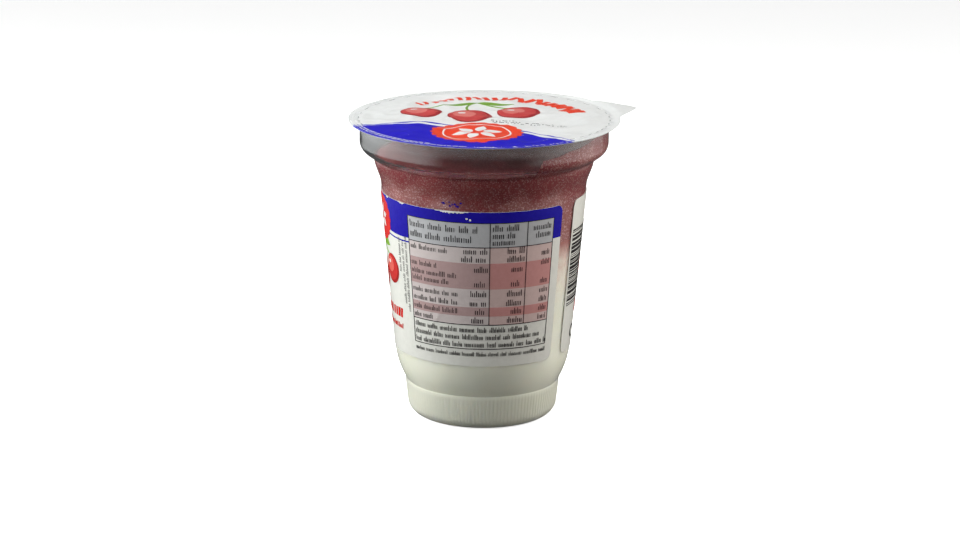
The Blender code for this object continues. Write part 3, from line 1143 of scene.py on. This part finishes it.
def crescent_edge(u):
    """The far edge of the blue field, on a smooth curve through its points."""
    i = next((i for i in range(1, len(CRESCENT) - 2) if u <= CRESCENT[i + 1][0]), len(CRESCENT) - 3)
    (x0, y0), (x1, y1), (x2, y2), (x3, y3) = CRESCENT[i - 1:i + 3]
    t = (u - x1) / (x2 - x1)
    slope1 = (y2 - y0) / (x2 - x0) * (x2 - x1)
    slope2 = (y3 - y1) / (x3 - x1) * (x2 - x1)
    return ((2 * t - 3) * t * t + 1) * y1 + ((t - 2) * t + 1) * t * slope1 + (3 - 2 * t) * t * t * y2 + (
        t - 1) * t * t * slope2


def inside_rim(u, margin):
    """Near edge of the lid at a distance u to the side."""
    return -math.sqrt(max((LID_RADIUS - margin) ** 2 - u ** 2, 0))


def swoosh(u):
    """Width of the white wave along the far edge of the blue field, thick in its middle."""
    return 0.5 + 1.5 * math.exp(-((u + 14) / 9.0) ** 2) + 1.9 * math.exp(-((u - 15) / 7.0) ** 2)


def crescent_field():
    """The blue field from the near rim to the wave, and the thin blue line beyond the wave."""
    across = [u / 10 for u in range(-370, 370)]
    inside = [u for u in across if crescent_edge(u) - 1.1 > inside_rim(u, RIM_LEFT_BARE)]
    left, right = inside[0], inside[-1]
    near = between(lambda u: inside_rim(u, RIM_LEFT_BARE),
                   lambda u: max(crescent_edge(u) - 0.7 - swoosh(u), inside_rim(u, RIM_LEFT_BARE) + 0.02),
                   left, right, 160)
    far = between(lambda u: crescent_edge(u) - 0.7 - 0.25 * math.sin(u * 0.8), crescent_edge,
                  left, right, 160)
    return [near, far]


def lid_motifs():
    """Fruit, leaves, badge and an arc of brush strokes on the lid, by ink."""
    inks = start_inks()
    joint = (-2.0, 17.5)
    for x, y, radius in ((-17.5, 6.5, 5.8), (-4.0, 2.4, 6.2), (9.5, 6.8, 6.0)):
        add_cherry(inks, x, y, radius, joint)
    inks["green"].append(leaf(*joint, 10.5, 4.4, -8))
    inks["green"].append(leaf(*joint, 9.0, 3.8, 190))
    rng = random.Random(12)
    for i in range(22):
        turn = math.radians(134 - 5.6 * i)
        grow = 0.75 + 0.7 * i / 21
        reach = 26.4 + rng.uniform(-0.8, 0.8)
        tip = turn + rng.uniform(-0.5, 0.5)
        x, y = reach * math.cos(turn), 0.95 * reach * math.sin(turn)
        dx, dy = 1.7 * grow * math.cos(tip), 1.9 * grow * math.sin(tip)
        dab = [(x - dx, y - dy), (x + 0.3, y + 0.2), (x + dx, y + dy)]
        inks["signal_red"].append(strip(dab, 1.45 * grow))
    add_badge(inks, -2.0, -18.0, 12.6, 22)
    inks["white"].append(badge_ring(-2.0, -18.0, 9.1))
    return inks


def seal_dashes():
    """Two broken rings of short white dashes along the seal, over the blue."""
    rng = random.Random(17)
    made = []
    for reach, start, end in ((36.35, 196, 262), (35.3, 197, 246), (36.4, 262, 322)):
        turn = start
        while turn < end:
            long = rng.uniform(0.8, 2.6) if start < 260 else rng.uniform(0.3, 0.9)
            line = [math.radians(turn + long * k / 4) for k in range(5)]
            away = reach + rng.uniform(-0.08, 0.08)
            made.append(strip([(away * math.cos(t), away * math.sin(t)) for t in line], 0.3))
            turn += long + (rng.uniform(0.3, 1.2) if start < 260 else rng.uniform(1.0, 5.0))
    return made


def date_dots():
    """Rows of tiny dots, where a date would be jetted on."""
    rng = random.Random(3)
    made = []
    for row in range(2):
        for i in range(46):
            if rng.random() < 0.55:
                drop = 0.12 * i + 1.6 * row
                made.append(disc(2.0 + 0.45 * i, -3.0 - drop + rng.uniform(-0.5, 0.5), 0.24, 1.0, 8))
    return made


def make_lid_print():
    """Every ink of the lid, which follows the creases of the foil."""
    motifs = lid_motifs()
    motifs["blue"] = crescent_field()
    motifs["white"] += seal_dashes()
    motifs["black"] = date_dots()
    lay_inks("lid_ink_", motifs, LID_INKS, on_lid, lacquered_foil, "_foil_lacquer", LID_CELL)


# Stage


def camera_axes():
    """The camera's right and back directions along the floor."""
    turn = math.radians(CAMERA_AZIMUTH)
    return Vector((math.cos(turn), math.sin(turn), 0)), Vector((math.sin(turn), -math.cos(turn), 0))


def make_camera():
    right, back = camera_axes()
    lens = bpy.data.cameras.new("camera")
    lens.lens = CAMERA_LENS
    lens.sensor_width = 36
    lens.clip_start, lens.clip_end = 0.01, 50
    camera = bpy.data.objects.new("camera", lens)
    bpy.context.scene.collection.objects.link(camera)
    place = (back * CAMERA_DISTANCE + right * CAMERA_SHIFT + Vector((0, 0, CAMERA_HEIGHT))) * MM
    turn = Matrix.Rotation(math.radians(CAMERA_AZIMUTH), 4, "Z")
    tip = Matrix.Rotation(math.radians(90 - CAMERA_PITCH), 4, "X")
    roll = Matrix.Rotation(math.radians(CAMERA_ROLL), 4, "Z")
    camera.matrix_world = Matrix.Translation(place) @ turn @ tip @ roll
    bpy.context.scene.camera = camera


# Lit cloth walls round the pot: degrees from the camera's side, to its right, with the light given there
LEFT_WALL = ((-34, 0.0), (-58, 6.0), (-90, 6.2), (-112, 4.0), (-135, 1.8), (-152, 0.8))
RIGHT_WALL = ((36, 0.0), (60, 3.6), (85, 4.5), (112, 2.8), (138, 1.0))
# Height of the cloth in metres, with the share of its light given there
WALL_RISE = ((-0.05, 0.0), (-0.02, 0.46), (0.01, 0.44), (0.04, 0.38), (0.08, 0.5), (0.18, 0.9), (0.3, 1.1),
             (0.55, 1.12))
WALL_DISTANCE = 0.34
FLOOR_GLOW = 0.75
SKY_GLOW = 0.08


def along_points(points, place):
    """Value at a place along a line of points."""
    for (x0, y0), (x1, y1) in zip(points, points[1:]):
        if place <= max(x0, x1) and place >= min(x0, x1):
            return y0 + (y1 - y0) * (place - x0) / (x1 - x0)
    return points[-1][1]


def lit_cloth(name, tint):
    """Studio cloth lit from behind, as bright as its mesh says."""
    made = bpy.data.materials.new(name)
    made.use_nodes = True
    tree = made.node_tree
    tree.nodes.clear()
    glow = add_node(tree, "ShaderNodeAttribute", attribute_name="glow").outputs["Fac"]
    light = add_node(tree, "ShaderNodeEmission", {"Color": colour(tint), "Strength": glow})
    add_node(tree, "ShaderNodeOutputMaterial", {"Surface": light})
    return made


def light_wall(name, points, cloth):
    """A curved wall of lit cloth that starts below the floor, and that only the pot sees."""
    right, back = camera_axes()
    columns, rows = 24, 24
    start, end = points[0][0], points[-1][0]
    low, high = WALL_RISE[0][0], WALL_RISE[-1][0]
    verts, faces, glow = [], [], []
    for i in range(columns + 1):
        around = start + (end - start) * i / columns
        outwards = back * math.cos(math.radians(around)) + right * math.sin(math.radians(around))
        for j in range(rows + 1):
            height = low + (high - low) * j / rows
            verts.append(outwards * WALL_DISTANCE + Vector((0, 0, height)))
            glow.append(along_points(points, around) * along_points(WALL_RISE, height))
            if i and j:
                corner = (i - 1) * (rows + 1) + j - 1
                faces.append((corner, corner + 1, corner + rows + 2, corner + rows + 1))
    mesh = bpy.data.meshes.new(name)
    mesh.from_pydata(verts, [], faces)
    mesh.attributes.new("glow", "FLOAT", "POINT").data.foreach_set("value", glow)
    mesh.materials.append(cloth)
    wall = add_object(name, mesh)
    wall.visible_camera = False
    wall.visible_shadow = False


def soft_ceiling(radiance, width, deep, behind, up):
    """A square soft box over the pot."""
    back = camera_axes()[1]
    lamp = bpy.data.lights.new("ceiling", "AREA")
    lamp.shape = "RECTANGLE"
    lamp.size, lamp.size_y = width, deep
    lamp.energy = radiance * math.pi * width * deep
    obj = bpy.data.objects.new("ceiling", lamp)
    bpy.context.scene.collection.objects.link(obj)
    obj.matrix_world = Matrix.Translation(Vector((0, 0, up)) - back * behind) @ Matrix.Rotation(
        math.radians(CAMERA_AZIMUTH), 4, "Z")
    obj.visible_camera = False


def make_stage():
    floor_mesh = bmesh.new()
    bmesh.ops.create_grid(floor_mesh, x_segments=4, y_segments=4, size=6.0)
    mesh = bpy.data.meshes.new("studio_floor")
    floor_mesh.to_mesh(mesh)
    floor_mesh.free()
    mesh.materials.append(pale_floor())
    floor = add_object("studio_floor", mesh)
    floor.location = (0, 0, -0.00005)
    for ray in ("diffuse", "glossy", "transmission", "shadow"):
        setattr(floor, "visible_" + ray, False)
    world = bpy.data.worlds.new("studio")
    world.use_nodes = True
    sky = world.node_tree.nodes["Background"].inputs
    sky["Color"].default_value = colour("#FFFFFF")
    sky["Strength"].default_value = SKY_GLOW
    bpy.context.scene.world = world
    light_wall("left_light_wall", LEFT_WALL, lit_cloth("cool_backlit_cloth", "#FCFFFE"))
    light_wall("right_light_wall", RIGHT_WALL, lit_cloth("warm_backlit_cloth", "#FFFDF9"))
    soft_ceiling(radiance=0.12, width=1.3, deep=1.3, behind=0.05, up=0.9)
    # Light has to pass the clear wall, and be thrown back in it many times, to reach the food
    bpy.context.scene.cycles.blur_glossy = 0
    bpy.context.scene.cycles.diffuse_bounces = 8
    bpy.context.scene.cycles.glossy_bounces = 8
    bpy.context.scene.view_settings.view_transform = "Standard"


def main():
    make_camera()
    outline = cup_outline()
    make_cup(outline)
    make_milk(outline)
    mousse = make_mousse(outline)
    make_bubbles(mousse)
    make_film()
    make_label_print()
    make_foil()
    make_lid_print()
    make_stage()


main()
